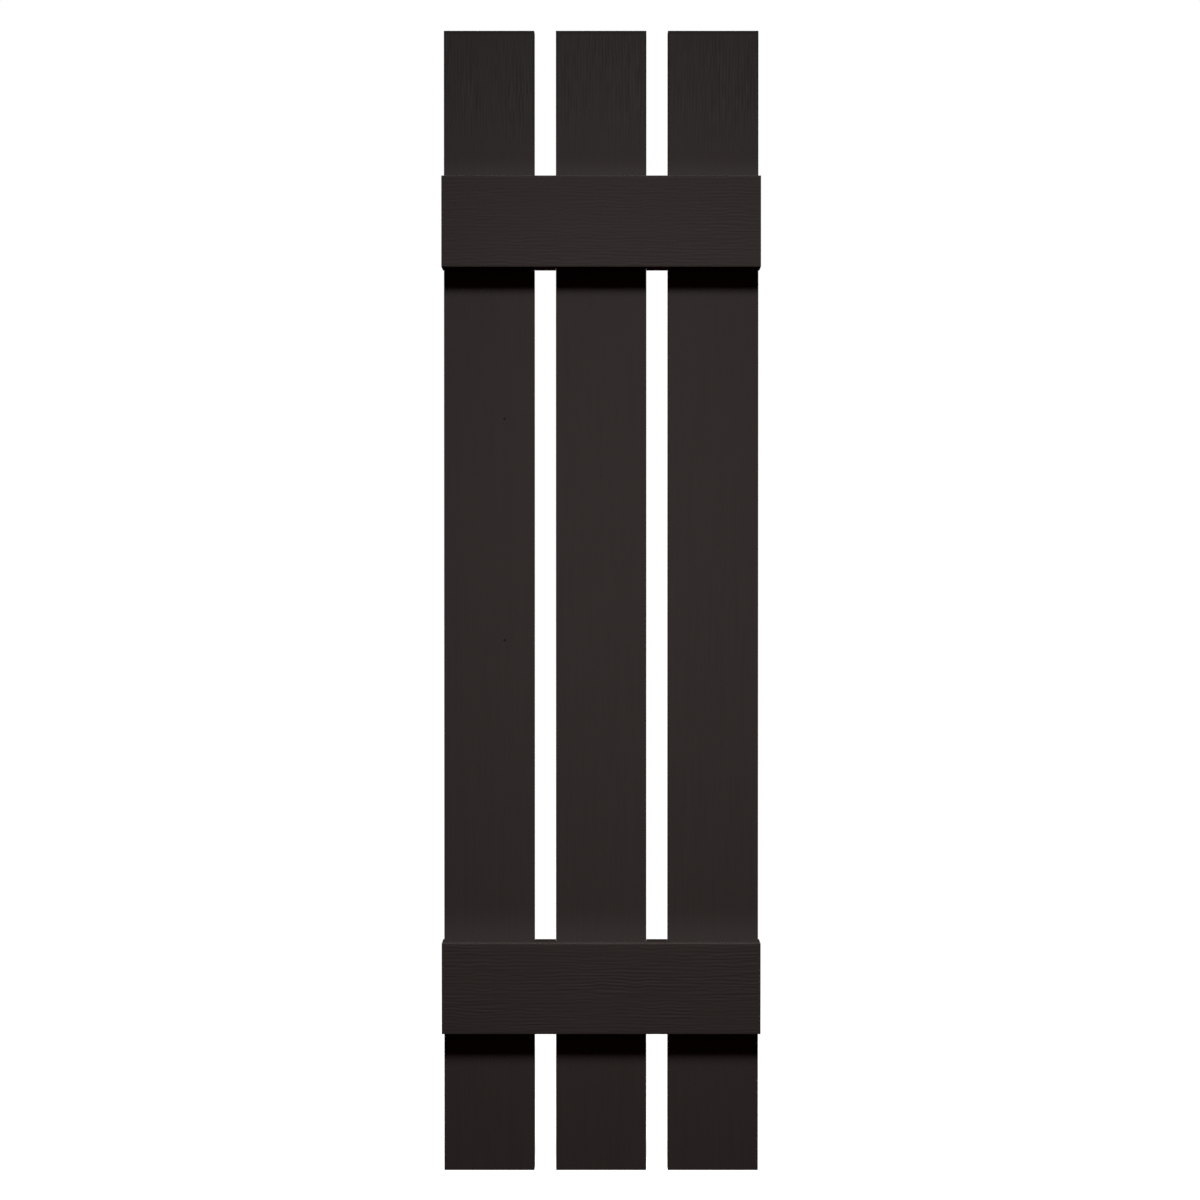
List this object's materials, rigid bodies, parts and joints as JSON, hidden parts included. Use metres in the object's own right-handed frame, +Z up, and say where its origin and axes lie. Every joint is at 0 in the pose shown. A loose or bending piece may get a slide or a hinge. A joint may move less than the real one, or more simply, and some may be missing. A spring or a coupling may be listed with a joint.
{
  "type": "board and batten shutter",
  "caption": "Spaced board and batten window shutter: upright grained plastic boards held apart by notched crosswise battens, hollow behind, fixed flat on a wall beside a window.",
  "frame": {"origin": "middle of the wall plane, on the back of the middle board's centre rib, halfway up the boards", "axes": "+Z up along the boards, +Y out of the back towards the wall, +X to the right as the face is seen"},
  "size_m": [0.3048, 0.0254, 1.0922],
  "materials": {
    "moulded_plastic": "satin, embossed with wood grain"
  },
  "bodies": {
    "root": {"left_board": "moulded_plastic", "middle_board": "moulded_plastic", "right_board": "moulded_plastic", "upper_batten": "moulded_plastic", "lower_batten": "moulded_plastic"}
  },
  "joints": []
}
